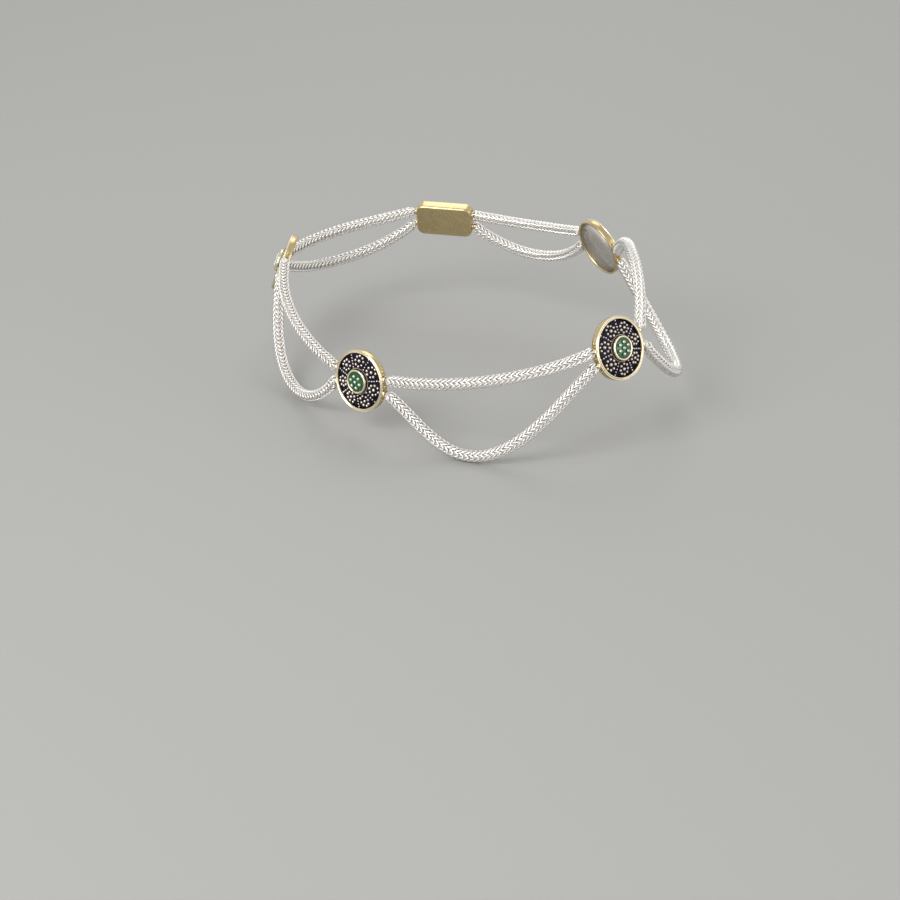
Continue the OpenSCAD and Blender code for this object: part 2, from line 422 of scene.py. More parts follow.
def add_piece(name, bm, station, finish, slot, *nodes):
    """Puts a bmesh, drawn face up round the origin, where a station is, and makes it an object."""
    bm.transform(station_matrix(station))
    mesh = bpy.data.meshes.new(name)
    bm.to_mesh(mesh)
    bm.free()
    return add_mesh(name, mesh, finish, slot, *nodes)


def revolve(bm, profile, steps, closed=True):
    """Spins a profile of (radius, height) points about +Z. An open one ends on the axis."""
    verts = [bm.verts.new((r, 0, z)) for r, z in profile]
    pairs = zip(verts, verts[1:] + verts[:1]) if closed else zip(verts, verts[1:])
    edges = [bm.edges.new(pair) for pair in pairs]
    spin_round(bm, verts + edges, steps)
    bmesh.ops.remove_doubles(bm, verts=bm.verts, dist=1e-7)
    bmesh.ops.recalc_face_normals(bm, faces=bm.faces)


def spin_round(bm, outline, steps):
    """Spins an outline once round +Z and joins the end to the start."""
    bmesh.ops.spin(
        bm, geom=outline, cent=(0, 0, 0), axis=(0, 0, 1), angle=2 * math.pi, steps=steps, use_merge=True
    )


def add_ball(bm, x, y, z, radius, segments=10, rings=6):
    """A round ball; gives its vertices."""
    made = bmesh.ops.create_uvsphere(
        bm, u_segments=segments, v_segments=rings, radius=radius, matrix=Matrix.Translation((x, y, z))
    )
    return made["verts"]


def add_grain(bm, layer, x, y, z, radius, base):
    """A round grain; the layer says how far a point is above the surface it is soldered to."""
    for v in add_ball(bm, x, y, z, radius):
        v[layer] = share(v.co.z - base, radius)


def soften(bm, amount, size, seed):
    """Moves every vertex a little, in waves of a size, so that a hand-made edge isn't quite true."""
    noise.seed_set(seed)
    for v in bm.verts:
        v.co += noise.noise_vector(v.co / size) * amount


def share(length, whole):
    """Part that a length is of the whole, kept between 0 and 1."""
    return min(1, max(0, length / whole))


def smoothstep(x):
    """Smooth climb from 0 to 1, of a number or of those in an array."""
    x = np.clip(x, 0, 1)
    return x * x * (3 - 2 * x)


# Materials

BRUSHED_DARK = (0.50, 0.48, 0.45)
BRUSHED_LIGHT = (0.68, 0.66, 0.62)


class Shader:
    """A material's node tree, with the few helpers that the finishes share."""

    def __init__(self, name):
        self.material = bpy.data.materials.new(name)
        self.material.use_nodes = True
        self.tree = self.material.node_tree
        self.surface = self.tree.nodes["Principled BSDF"]
        self.place = self.tree.nodes.new("ShaderNodeTexCoord").outputs["Object"]

    def feed(self, socket, value):
        """Links a socket to another one, or gives it a fixed value."""
        if isinstance(value, bpy.types.NodeSocket):
            self.tree.links.new(value, socket)
        else:
            socket.default_value = value

    def node(self, kind, **inputs):
        """New node, whose inputs are named with _ for a space."""
        made = self.tree.nodes.new(kind)
        for name, value in inputs.items():
            self.feed(made.inputs[name.replace("_", " ")], value)
        return made

    def set(self, **inputs):
        """Feeds inputs of the material's surface."""
        for name, value in inputs.items():
            self.feed(self.surface.inputs[name.replace("_", " ")], value)

    def noise(self, size, detail=3.0, stretch=(1, 1, 1)):
        """Noise whose patches are about size metres across."""
        mapping = self.node("ShaderNodeMapping", Vector=self.place, Scale=stretch)
        point = mapping.outputs["Vector"]
        return self.node("ShaderNodeTexNoise", Vector=point, Scale=1 / size, Detail=detail).outputs["Fac"]

    def ramp(self, factor, stops):
        """Colour that changes with a factor; the stops are (factor, colour)."""
        made = self.node("ShaderNodeValToRGB", Fac=factor)
        for element, (at, colour) in zip(made.color_ramp.elements, stops):
            element.position = at
            element.color = (*colour, 1)
        for at, colour in stops[2:]:
            made.color_ramp.elements.new(at).color = (*colour, 1)
        return made.outputs["Color"]

    def between(self, factor, low, high, start=0.0, end=1.0):
        """Value that goes from low to high while the factor goes from start to end."""
        made = self.node(
            "ShaderNodeMapRange", Value=factor, From_Min=start, From_Max=end, To_Min=low, To_Max=high
        )
        return made.outputs["Result"]

    def attribute(self, name):
        """Values of one of the mesh's own layers, 0 where it has none."""
        made = self.tree.nodes.new("ShaderNodeAttribute")
        made.attribute_name = name
        return made.outputs["Fac"]

    def mix(self, factor, first, second):
        """First colour where the factor is 0, second where it is 1."""
        return self.node("ShaderNodeMixRGB", Fac=factor, Color1=first, Color2=second).outputs["Color"]

    def bump(self, height, depth, strength=1.0):
        """Small relief of the surface."""
        made = self.node("ShaderNodeBump", Height=height, Distance=depth, Strength=strength)
        self.set(Normal=made.outputs["Normal"])


def shade(colour, factor):
    """Darker or lighter colour."""
    return tuple(min(1, c * factor) for c in colour)


def gold_finish(name, finish):
    """Satin gold with soft dents, fine scratches and a little wear, and polished rims with a paler painted
    highlight.
    """
    shader = Shader(name)
    rim = shader.attribute("rim")
    wear = shader.noise(1.4 * MM)
    satin = shader.ramp(wear, [(0.3, shade(finish.gold, 0.92)), (0.7, shade(finish.gold, 1.05))])
    scratched = shader.between(shader.noise(0.25 * MM, 6, (1, 1, 0.2)), 0.2, 0.32, 0.35, 0.7)
    # The rim layer gives the rims a smoother polish and a paler colour, a painted highlight
    shader.set(
        Base_Color=shader.mix(rim, satin, (*finish.rim, 1)),
        Metallic=1.0,
        Roughness=shader.between(rim, scratched, 0.19),
    )
    shader.bump(shader.noise(0.8 * MM, 2), 0.03 * MM, 0.4)
    return shader.material


def silver_finish(name, silver, low, clean_and_lit_from, clean_and_lit_to, roughness):
    """Bright silver on the outside, and the low colour where the piece's layer is low; on the soldered grains
    that is tarnish with painted shade.
    """
    shader = Shader(name)
    clean_and_lit = shader.between(shader.attribute("clean_and_lit"), 0, 1, clean_and_lit_from, clean_and_lit_to)
    bright = shader.ramp(shader.noise(0.7 * MM), [(0.3, shade(silver, 0.93)), (0.7, shade(silver, 1.05))])
    shader.set(
        Base_Color=shader.mix(clean_and_lit, (*low, 1), bright),
        Metallic=shader.between(clean_and_lit, 0.75, 1.0),
        Roughness=shader.between(clean_and_lit, 0.6, roughness),
    )
    shader.bump(shader.noise(0.12 * MM, 2), 0.006 * MM, 0.6)
    return shader.material


def ground_finish(name, finish):
    """Blackened silver with a blue and violet bloom on the face, and plain brushed silver on the back."""
    shader = Shader(name)
    face = shader.attribute("face")
    stops = [(0.3, shade(finish.ground, 0.5)), (0.5, finish.ground), (0.7, finish.bloom)]
    bloom = shader.ramp(shader.noise(0.8 * MM, 4), stops)
    lines = shader.noise(0.3 * MM, 4, (1, 0.08, 1))
    brushed = shader.ramp(lines, [(0.3, BRUSHED_DARK), (0.7, BRUSHED_LIGHT)])
    shader.set(
        Base_Color=shader.mix(face, brushed, bloom),
        Metallic=shader.between(face, 1.0, 0.0),
        Specular_IOR_Level=0.12,
        Roughness=shader.between(shader.noise(0.3 * MM), 0.25, 0.45, 0.3, 0.7),
    )
    shader.bump(shader.noise(0.15 * MM, 3), 0.015 * MM, 0.6)
    return shader.material


def enamel_finish(name, finish):
    """Deep glossy enamel with faint clouds and soft waves, with painted shade towards the ring."""
    shader = Shader(name)
    stops = [(0.3, shade(finish.enamel, 0.75)), (0.7, shade(finish.enamel, 1.5))]
    clouds = shader.ramp(shader.noise(0.9 * MM, 3), stops)
    # Painted shade: the enamel darkens towards the gold ring
    rim = shader.between(shader.attribute("rim"), 0, 1, 0.6, 1.0)
    shader.set(
        Base_Color=shader.mix(rim, clouds, (*shade(finish.enamel, 0.45), 1)),
        Roughness=0.12,
        Specular_IOR_Level=0.5,
        Coat_Weight=0.5,
        Coat_Roughness=0.03,
    )
    shader.bump(shader.noise(0.5 * MM, 2), 0.02 * MM, 0.5)
    return shader.material


def finish_material(key):
    """The finish with this name, made on first use."""
    found = bpy.data.materials.get(key)
    if found:
        return found
    finish = bpy.context.scene.anklet_finish
    if key == "polished_gold":
        return gold_finish(key, finish)
    if key == "silver_weave":
        return silver_finish(key, finish.silver, finish.tarnish, 0.5, 0.92, 0.36)
    # The grains darken towards their foot: bronze tarnish with painted shade
    if key == "granulated_silver":
        return silver_finish(key, finish.grain, finish.bronze_and_shade, 0.5, 1.02, 0.1)
    if key == "glazed_silver":
        return silver_finish(key, finish.silver, finish.enamel, 0.35, 1.2, 0.2)
    if key == "blackened_silver":
        return ground_finish(key, finish)
    if key == "green_glaze":
        return enamel_finish(key, finish)
    raise RuntimeError("there is no finish named " + key)


# Woven chain

# Points of a strand's route, and the stretch in which it turns out of a socket
ROUTE_POINTS = 240
EXIT = 2.2 * MM

# A link: its tips are rounded, it dives to its waist between two angles from a tip, and its
# steps are crowded towards the tips
WIRE_SIDES = 4
LINK_STEPS = 16
TIP_ROUNDING = math.radians(5)
DIVE_FROM = math.radians(38)
DIVE_TO = math.radians(80)
CROWDING = 0.19

# The core: depth of its grooves, and of every second ring, as shares of its radius
CORE_GROOVE = 0.28
CORE_WAIST = 0.07

# How far a link is off its neat place, as a share of a stitch
DRIFT = 0.03

# A strand's end: share of its width in a socket, and the stretch in which it widens, which
# starts just inside the mouth
END_WIDTH = 0.5
END_IN = 0.05 * MM
END_LENGTH = 0.3 * MM


def link_centre(u, outer, waist, reach):
    """Middle of the wire of a folded link: pointed tips at both Y ends, raised, and a narrow waist on X."""
    fold = math.acos(min(1, abs(math.sin(u))))
    dive = float(smoothstep((fold - DIVE_FROM) / (DIVE_TO - DIVE_FROM)))
    r = outer - (outer - waist) * dive
    slant = math.hypot(fold, TIP_ROUNDING) - TIP_ROUNDING
    return Vector((r * math.cos(u), r * math.sin(u), reach * (1 - slant / (math.pi / 2))))


def make_link(chain):
    """One link: a ring of wire, folded so that both ends stand up."""
    bm = bmesh.new()
    wire = chain.wire / 2
    outer = STRAND_RADIUS - wire
    section = bmesh.ops.create_circle(bm, cap_ends=False, segments=WIRE_SIDES, radius=wire)["verts"]
    bmesh.ops.rotate(bm, verts=section, cent=(0, 0, 0), matrix=Matrix.Rotation(math.pi / 2, 3, "X"))
    bmesh.ops.translate(bm, verts=section, vec=(outer, 0, 0))
    spin_round(bm, bm.verts[:] + bm.edges[:], LINK_STEPS)
    bmesh.ops.recalc_face_normals(bm, faces=bm.faces)

    def centre(u):
        return link_centre(u, outer, chain.waist, chain.reach)

    step = 0.01
    for v in bm.verts:
        u = math.atan2(v.co.y, v.co.x)
        u += CROWDING * math.sin(2 * u)
        off, rise = math.hypot(v.co.x, v.co.y) - outer, v.co.z
        along = (centre(u + step) - centre(u - step)).normalized()
        out = Vector((math.cos(u), math.sin(u), 0))
        out = (out - along * out.dot(along)).normalized()
        v.co = centre(u) + out * off + out.cross(along) * rise
    mesh = bpy.data.meshes.new("link")
    bm.to_mesh(mesh)
    bm.free()
    return mesh


def add_core(bm, radius, count, pitch):
    """Inner layer of the weave: a closed tube with a groove between its four rows of stitches."""
    made = bmesh.ops.create_circle(bm, cap_ends=True, segments=8, radius=radius)
    face = made["verts"][0].link_faces[0]
    shape_ring(face, radius)
    for k in range(1, 2 * count + 1):
        face = bmesh.ops.extrude_discrete_faces(bm, faces=[face])["faces"][0]
        bmesh.ops.translate(bm, verts=face.verts, vec=(0, 0, pitch / 2))
        shape_ring(face, radius if k % 2 else radius * (1 - CORE_WAIST))
    bmesh.ops.recalc_face_normals(bm, faces=bm.faces)


def shape_ring(face, radius):
    """Gives the ring round a face a radius, and grooves between the rows."""
    for v in face.verts:
        angle = math.atan2(v.co.y, v.co.x)
        r = radius * (1 - CORE_GROOVE * math.sin(2 * angle) ** 2)
        v.co.x, v.co.y = r * math.cos(angle), r * math.sin(angle)


def weave(link, length, chain, seed):
    """Straight chain of crossed links along +Z; gives its mesh."""
    rng = random.Random(seed)
    count = round(length / chain.stitch)
    pitch = length / count
    bm = bmesh.new()
    add_core(bm, chain.core, count, pitch)
    for k in range(-1, count):
        for half, turn in ((0, 0), (0.5, math.pi / 2)):
            first = len(bm.verts)
            bm.from_mesh(link)
            bm.verts.ensure_lookup_table()
            turned = turn + rng.uniform(-1, 1) * chain.unevenness
            z = (k + half + rng.uniform(-DRIFT, DRIFT)) * pitch
            spot = Matrix.Translation((0, 0, z)) @ Matrix.Rotation(turned, 4, "Z")
            bmesh.ops.transform(bm, matrix=spot, verts=bm.verts[first:])
    mesh = bpy.data.meshes.new("strand")
    bm.to_mesh(mesh)
    bm.free()
    return mesh


def unit(rows):
    """Rows of an array, each made 1 long."""
    return rows / np.linalg.norm(rows, axis=1, keepdims=True)


def square_to(ahead, rows):
    """Rows of an array made square to the directions ahead, each 1 long."""
    return unit(rows - ahead * (rows * ahead).sum(1, keepdims=True))


def lay(mesh, points, outs, socket_first, socket_last):
    """Bends a straight chain along a route, and narrows its ends into the sockets."""
    line = np.array(points)
    lengths = np.concatenate(([0], np.cumsum(np.linalg.norm(np.diff(line, axis=0), axis=1))))
    total = lengths[-1]
    neck_first = line[0] - np.array(socket_first) * NECK_IN
    neck_last = line[-1] + np.array(socket_last) * NECK_IN
    line = np.vstack((neck_first, line, neck_last))
    lengths = np.concatenate(([-NECK_IN], lengths, [total + NECK_IN]))
    tangent = unit(np.gradient(line, lengths, axis=0))
    normal = square_to(tangent, np.array([outs[0], *outs, outs[-1]]))

    co = np.zeros(len(mesh.vertices) * 3)
    mesh.vertices.foreach_get("co", co)
    co = co.reshape(-1, 3)
    across, run = co[:, :2], co[:, 2]
    clean_and_lit = np.linalg.norm(across, axis=1) / STRAND_RADIUS
    run = np.where(run < 0, -NECK_IN * (1 - np.exp(np.minimum(run, 0) / NECK_IN)), run)
    run = np.where(run > total, total + NECK_IN * (1 - np.exp(-np.maximum(run - total, 0) / NECK_IN)), run)
    inner = np.minimum(run, total - run)
    width = END_WIDTH + (1 - END_WIDTH) * smoothstep((inner + END_IN) / END_LENGTH)

    def at_run(values):
        return np.stack([np.interp(run, lengths, values[:, k]) for k in range(3)], axis=1)

    ahead = unit(at_run(tangent))
    outward = square_to(ahead, at_run(normal))
    aside = np.cross(outward, ahead)
    laid = at_run(line) + (aside * across[:, :1] + outward * across[:, 1:]) * width[:, None]
    mesh.vertices.foreach_set("co", laid.ravel())
    layer = mesh.attributes.new("clean_and_lit", "FLOAT", "POINT")
    layer.data.foreach_set("value", clean_and_lit.astype(np.float32))
    mesh.update()


def make_strand(link, chain, i, level):
    """Upper (1) or lower (-1) strand from station i to the next, woven and laid on its route."""
    right_first = axes(STATIONS[i])[0]
    right_last = axes(STATIONS[next_station(i)])[0]
    points, outs = strand_route(i, level, ROUTE_POINTS)
    ease(points, right_first, EXIT)
    points.reverse()
    ease(points, -right_last, EXIT)
    points.reverse()
    length = sum((b - a).length for a, b in zip(points, points[1:]))
    mesh = weave(link, length, chain, seed=10 * i + level)
    lay(mesh, points, outs, right_first, right_last)
    return mesh


class ANKLET_OT_chain(bpy.types.Operator):
    """Weave the ten strands of silver chain and lay them between the stations"""

    bl_idname = "anklet.chain"
    bl_label = "Woven chain"

    def execute(self, context):
        chain = context.scene.anklet_chain
        link = make_link(chain)
        for i in range(len(STATIONS)):
            bay = f"{i + 1}{next_station(i) + 1}"
            for name, level in (("upper", 1), ("lower", -1)):
                mesh = make_strand(link, chain, i, level)
                mesh.name = f"woven_{name}_{bay}"
                add_mesh(mesh.name, mesh, "silver_weave", "woven_silver", f"{name}_chain_{bay}")
        bpy.data.meshes.remove(link)
        return {"FINISHED"}


# Medallions

# Steps round the axis of each turned piece
WALL_STEPS = 112
PLATE_STEPS = 96
COLLET_STEPS = 72
ENAMEL_STEPS = 64
SOCKET_STEPS = 28

# Outline of the wall, as radius and height in mm: its outside, the outer bead of the rim, the
# groove, the inner bead and its inside
WALL_OUTLINE = [
    (5.65, 0.0), (5.90, 0.0), (5.98, 0.08), (5.99, 0.6), (5.99, 1.14), (5.97, 1.20),
    (6.00, 1.26), (6.06, 1.33), (6.06, 1.40), (6.00, 1.45), (5.93, 1.43),
    (5.88, 1.36), (5.82, 1.36),
    (5.78, 1.42), (5.74, 1.49), (5.67, 1.54), (5.60, 1.55), (5.53, 1.52), (5.48, 1.45), (5.45, 1.36),
    (5.47, 1.24), (5.55, 1.16), (5.65, 1.10), (5.65, 0.5),
]

# Heights between which the wall's satin turns to polish with a paler painted highlight, and how
# uneven the wall is
POLISH_AND_HIGHLIGHT_FROM = 1.2 * MM
POLISH_AND_HIGHLIGHT_FULL = 1.34 * MM
WALL_WAVE = 0.035 * MM
WALL_WAVE_SIZE = 2.2 * MM

# A socket's tube starts inside the gold, and the edges of its mouth are bevelled
SOCKET_ROOT = 0.3 * MM
SOCKET_EDGE = 0.08 * MM

# The ring: lift off the plate, heights of its outline from the foot to the top of the lip, how
# far in the lip's shoulder and top begin, the height in which satin turns to polish with a paler
# painted highlight, and how uneven the ring is
COLLET_LIFT = 0.02 * MM
COLLET_MIDDLE = 0.3 * MM
LIP_INSIDE = 0.54 * MM
LIP_OUTSIDE = 0.56 * MM
LIP_SHOULDER = 0.64 * MM
LIP_TOP = 0.69 * MM
SHOULDER_IN = 0.05 * MM
TOP_IN = 0.14 * MM
COLLET_POLISH_AND_HIGHLIGHT = 0.4 * MM
COLLET_WAVE = 0.02 * MM
COLLET_WAVE_SIZE = 1.6 * MM

# The enamel: lift off the plate, and height and width of the stretch that climbs the ring
ENAMEL_LIFT = 0.03 * MM
CLIMB = 0.06 * MM
CLIMB_WIDTH = 0.12 * MM

# How far a soldered grain is off its neat place, its turn in radians, its smallest and largest
# size, and its lift off the plate as a share of its radius
GRAIN_SHIFT = 0.06 * MM
GRAIN_TURN = 0.016
GRAIN_SMALLEST = 0.88
GRAIN_LARGEST = 1.1
GRAIN_LIFT = 0.1

# The rows of grains start this far from the middle. Small beads, with a little less tarnish and
# painted shade at their foot than the grains, lie at the ring's foot
ROW_START = COLLET_RADIUS + 0.55 * MM
BEADS = 64
BEADS_AT = COLLET_RADIUS + 0.17 * MM
BEAD_RADIUS = 0.11 * MM
BEAD_CLEAN_AND_LIT = 0.2

# The grains in the enamel: six round a seventh. Their turn is in degrees
GLAZED_GRAINS = 6
GLAZED_RADIUS = 0.33 * MM
GLAZED_RING = 1.12 * MM
GLAZED_TURN = 8
GLAZED_LIFT = 0.21 * MM
GLAZED_FOOT = 0.1 * MM

# The clasp: rounding of its rims, and the angle from which an edge looks sharp
CLASP_EDGE = 0.4 * MM
CLASP_SHARP = math.radians(40)


def dome_radius():
    """Radius of the sphere that the plate's dome is part of."""
    return (PLATE_RADIUS**2 + DOME_HEIGHT**2) / (2 * DOME_HEIGHT)


def dome_top(r):
    """Height of the domed plate at a distance from its middle."""
    return PLATE_EDGE + DOME_HEIGHT - dome_radius() + math.sqrt(dome_radius() ** 2 - r * r)


def make_wall():
    """Gold wall with a rolled rim, its sockets and the grains soldered between them."""
    bm = bmesh.new()
    revolve(bm, [(r * MM, z * MM) for r, z in WALL_OUTLINE], WALL_STEPS)
    soften(bm, WALL_WAVE, WALL_WAVE_SIZE, seed=3)
    for side in (-1, 1):
        add_sockets(bm, side, WALL_RADIUS, WALL_HEIGHT / 2)
        for k in (-1, 0, 1):
            angle = k * math.asin(2 * LUG_STEP / WALL_RADIUS)
            x, y = side * LUG_AT * math.cos(angle), LUG_AT * math.sin(angle)
            add_ball(bm, x, y, WALL_HEIGHT / 2, LUG_RADIUS, segments=16, rings=10)
    # Polish and a paler painted highlight on the rim
    mark_rim(bm, POLISH_AND_HIGHLIGHT_FROM, POLISH_AND_HIGHLIGHT_FULL)
    return bm


def mark_rim(bm, low, high):
    """Layer that says where the gold is polished and painted paler as a highlight: not at all at the low
    height, fully at the high one.
    """
    layer = bm.verts.layers.float.new("rim")
    for v in bm.verts:
        v[layer] = share(v.co.z - low, high - low)


def add_sockets(bm, side, reach, z):
    """Two short tubes for the strands' ends, out of a side that is at reach."""
    for level in (-1, 1):
        add_socket(bm, side, reach - SOCKET_ROOT, level * STRAND_OFFSET, z)


def add_socket(bm, side, x, y, z):
    """A short tube that a strand's end goes into."""
    tube = bmesh.new()
    length = SOCKET_OUT + SOCKET_ROOT
    profile = [
        (BORE_RADIUS, length - BORE_DEPTH),
        (BORE_RADIUS, length - SOCKET_EDGE / 2),
        (BORE_RADIUS + SOCKET_EDGE / 2, length),
        (SOCKET_RADIUS - SOCKET_EDGE, length),
        (SOCKET_RADIUS, length - SOCKET_EDGE),
        (SOCKET_RADIUS, 0),
        (0, 0),
        (0, length - BORE_DEPTH),
    ]
    revolve(tube, profile, SOCKET_STEPS)
    tube.transform(Matrix.Translation((side * x, y, z)) @ Matrix.Rotation(side * math.pi / 2, 4, "Y"))
    mesh = bpy.data.meshes.new("tube")
    tube.to_mesh(mesh)
    tube.free()
    bm.from_mesh(mesh)
    bpy.data.meshes.remove(mesh)


def make_plate():
    """Domed plate, with a flat back and a flat seat for the ring of the enamel."""
    bm = bmesh.new()
    rings = 16
    profile = [(0, PLATE_BACK), (PLATE_RADIUS, PLATE_BACK)]
    for k in range(rings + 1):
        r = PLATE_RADIUS + (SEAT_RADIUS - PLATE_RADIUS) * k / rings
        profile.append((r, dome_top(r)))
    profile.append((0, dome_top(SEAT_RADIUS)))
    revolve(bm, profile, PLATE_STEPS, closed=False)
    layer = bm.verts.layers.float.new("face")
    for v in bm.verts:
        v[layer] = 1 if v.co.z > (PLATE_BACK + PLATE_EDGE) / 2 else 0
    return bm


def make_granulation(grains, spin):
    """Rosettes, rows between them, and the twisted wire at the foot of the gold ring."""
    bm = bmesh.new()
    # The layer darkens each grain towards its foot: bronze tarnish with painted shade
    layer = bm.verts.layers.float.new("clean_and_lit")
    rng = random.Random(int(spin))

    def grain(radius, angle, r):
        r += rng.uniform(-1, 1) * GRAIN_SHIFT
        angle += rng.uniform(-1, 1) * GRAIN_TURN
        x, y = r * math.cos(angle), r * math.sin(angle)
        size = radius * rng.uniform(GRAIN_SMALLEST, GRAIN_LARGEST)
        add_grain(bm, layer, x, y, dome_top(r) + GRAIN_LIFT * size, size, dome_top(r))

    step = 2 * math.pi / grains.rosettes
    row_step = (PLATE_RADIUS - ROW_START - 2 * grains.row_grain) / (grains.row_grains - 1)
    for k in range(grains.rosettes):
        middle = math.radians(spin) + k * step
        grain(grains.heart, middle, grains.rosette_at)
        for m in range(grains.petals):
            angle = 2 * math.pi * m / grains.petals
            x = grains.rosette_at + grains.ring * math.cos(angle)
            y = grains.ring * math.sin(angle)
            grain(grains.petal, middle + math.atan2(y, x), math.hypot(x, y))
        for m in range(grains.row_grains):
            grain(grains.row_grain, middle + step / 2, ROW_START + m * row_step)
    for k in range(BEADS):
        angle = 2 * math.pi * k / BEADS
        add_bead(bm, layer, BEADS_AT * math.cos(angle), BEADS_AT * math.sin(angle), dome_top(BEADS_AT))
    return bm


def add_bead(bm, layer, x, y, z):
    """A small plain bead of the twisted wire."""
    spot = Matrix.Translation((x, y, z))
    made = bmesh.ops.create_icosphere(bm, subdivisions=1, radius=BEAD_RADIUS, matrix=spot)
    # The layer darkens the bead towards its foot: tarnish with painted shade, starting lower than on the
    # grains
    for v in made["verts"]:
        v[layer] = share(v.co.z - z + BEAD_CLEAN_AND_LIT * BEAD_RADIUS, BEAD_RADIUS)


def make_collet():
    """Gold ring with a rounded, slightly uneven lip."""
    bm = bmesh.new()
    low = dome_top(SEAT_RADIUS) + COLLET_LIFT
    inner = COLLET_RADIUS - COLLET_WALL
    profile = [
        (inner, 0.0),
        (COLLET_RADIUS, 0.0),
        (COLLET_RADIUS, COLLET_MIDDLE),
        (COLLET_RADIUS, LIP_OUTSIDE),
        (COLLET_RADIUS - SHOULDER_IN, LIP_SHOULDER),
        (COLLET_RADIUS - TOP_IN, LIP_TOP),
        (inner + TOP_IN, LIP_TOP),
        (inner + SHOULDER_IN, LIP_SHOULDER),
        (inner, LIP_INSIDE),
    ]
    revolve(bm, [(r, low + z) for r, z in profile], COLLET_STEPS)
    soften(bm, COLLET_WAVE, COLLET_WAVE_SIZE, seed=8)
    # Polish and a paler painted highlight on the lip
    mark_rim(bm, low, low + COLLET_POLISH_AND_HIGHLIGHT)
    return bm


def make_enamel():
    """Enamel, a little higher in the middle, that climbs the ring at its edge."""
    bm = bmesh.new()
    layer = bm.verts.layers.float.new("rim")
    low = dome_top(SEAT_RADIUS) + ENAMEL_LIFT
    rings = 12
    profile = [(0, low), (ENAMEL_RADIUS, low)]
    for k in range(rings + 1):
        r = ENAMEL_RADIUS * (1 - k / rings)
        climb = CLIMB * math.exp(-(ENAMEL_RADIUS - r) / CLIMB_WIDTH)
        profile.append((r, low + ENAMEL_EDGE + ENAMEL_RISE * (1 - (r / ENAMEL_RADIUS) ** 2) + climb))
    revolve(bm, profile, ENAMEL_STEPS, closed=False)
    # The layer says how far out a point is; the finish paints shade towards the ring with it
    for v in bm.verts:
        v[layer] = math.hypot(v.co.x, v.co.y) / ENAMEL_RADIUS
    return bm


def make_enamel_grains(spin):
    """Six silver grains round a seventh, set in the enamel."""
    bm = bmesh.new()
    layer = bm.verts.layers.float.new("clean_and_lit")
    base = dome_top(SEAT_RADIUS) + ENAMEL_EDGE + ENAMEL_RISE
    spots = [(0, 0)]
    for k in range(GLAZED_GRAINS):
        angle = math.radians(spin + GLAZED_TURN) + k * 2 * math.pi / GLAZED_GRAINS
        spots.append((GLAZED_RING * math.cos(angle), GLAZED_RING * math.sin(angle)))
    for x, y in spots:
        add_grain(bm, layer, x, y, base + GLAZED_LIFT, GLAZED_RADIUS, base - GLAZED_FOOT)
    return bm


def make_clasp():
    """Plain closed clasp with rounded corners and edges, and two sockets at each end."""
    bm = bmesh.new()
    size = Matrix.Diagonal((CLASP_LENGTH, CLASP_WIDTH, CLASP_THICKNESS, 1))
    bmesh.ops.create_cube(bm, size=1, matrix=Matrix.Translation((0, 0, CLASP_THICKNESS / 2)) @ size)
    upright = [e for e in bm.edges if abs(e.verts[0].co.z - e.verts[1].co.z) > CLASP_THICKNESS / 2]
    round_edges(bm, upright, CLASP_CORNER, 8)
    rims = [e for e in bm.edges if any(abs(f.normal.z) > 0.9 for f in e.link_faces)]
    round_edges(bm, rims, CLASP_EDGE, 4)
    for side in (-1, 1):
        add_sockets(bm, side, CLASP_LENGTH / 2, CLASP_THICKNESS / 2)
    return bm


def round_edges(bm, edges, radius, segments):
    """Rounds edges of a body."""
    bmesh.ops.bevel(
        bm, geom=edges, offset=radius, segments=segments, profile=0.5, affect="EDGES", material=-1
    )


class ANKLET_OT_walls(bpy.types.Operator):
    """Make the gold walls of the four medallions"""

    bl_idname = "anklet.walls"
    bl_label = "Gold walls"

    def execute(self, context):
        for number, station in enumerate(MEDALLIONS, 1):
            add_piece(f"gold_wall_{number}", make_wall(), station, "polished_gold", "gold", f"bezel_{number}")
        return {"FINISHED"}


class ANKLET_OT_plates(bpy.types.Operator):
    """Make the blackened domed plates and their bright granulation"""

    bl_idname = "anklet.plates"
    bl_label = "Plates and granulation"

    def execute(self, context):
        grains = context.scene.anklet_grains
        for number, station in enumerate(MEDALLIONS, 1):
            node = f"plate_{number}"
            plate = make_plate()
            add_piece(f"domed_plate_{number}", plate, station, "blackened_silver", "oxidised_silver", node)
            work = make_granulation(grains, station.spin)
            add_piece(f"granulation_{number}", work, station, "granulated_silver", "woven_silver", node)
        return {"FINISHED"}


class ANKLET_OT_enamel(bpy.types.Operator):
    """Make the gold rings, the green enamel and the grains set in it"""

    bl_idname = "anklet.enamel"
    bl_label = "Enamel centres"

    def execute(self, context):
        for number, station in enumerate(MEDALLIONS, 1):
            ring = make_collet()
            add_piece(f"gold_ring_{number}", ring, station, "polished_gold", "gold", f"collet_{number}")
            disc = make_enamel()
            add_piece(
                f"enamel_disc_{number}", disc, station, "green_glaze", "green_enamel", f"enamel_{number}"
            )
            work = make_enamel_grains(station.spin)
            add_piece(
                f"enamel_grains_{number}", work, station, "glazed_silver", "woven_silver", f"plate_{number}"
            )
        return {"FINISHED"}


class ANKLET_OT_clasp(bpy.types.Operator):
    """Make the closed clasp at the back"""

    bl_idname = "anklet.clasp"
    bl_label = "Clasp"

    def execute(self, context):
        piece = add_piece("closed_clasp", make_clasp(), STATIONS[CLASP], "polished_gold", "gold", "clasp")
        piece.data.set_sharp_from_angle(angle=CLASP_SHARP)
        return {"FINISHED"}


# Studio

# The floor lies just below the anklet, and reaches past all that the camera sees
FLOOR_GAP = 0.1 * MM
FLOOR_SIZE = 3.0

# Light from all round: (height of the direction, strength), and its tint
SKY_LEVELS = ((0.0, 1.35), (0.8, 1.0))
SKY_TINT = (1.0, 0.99, 0.97)


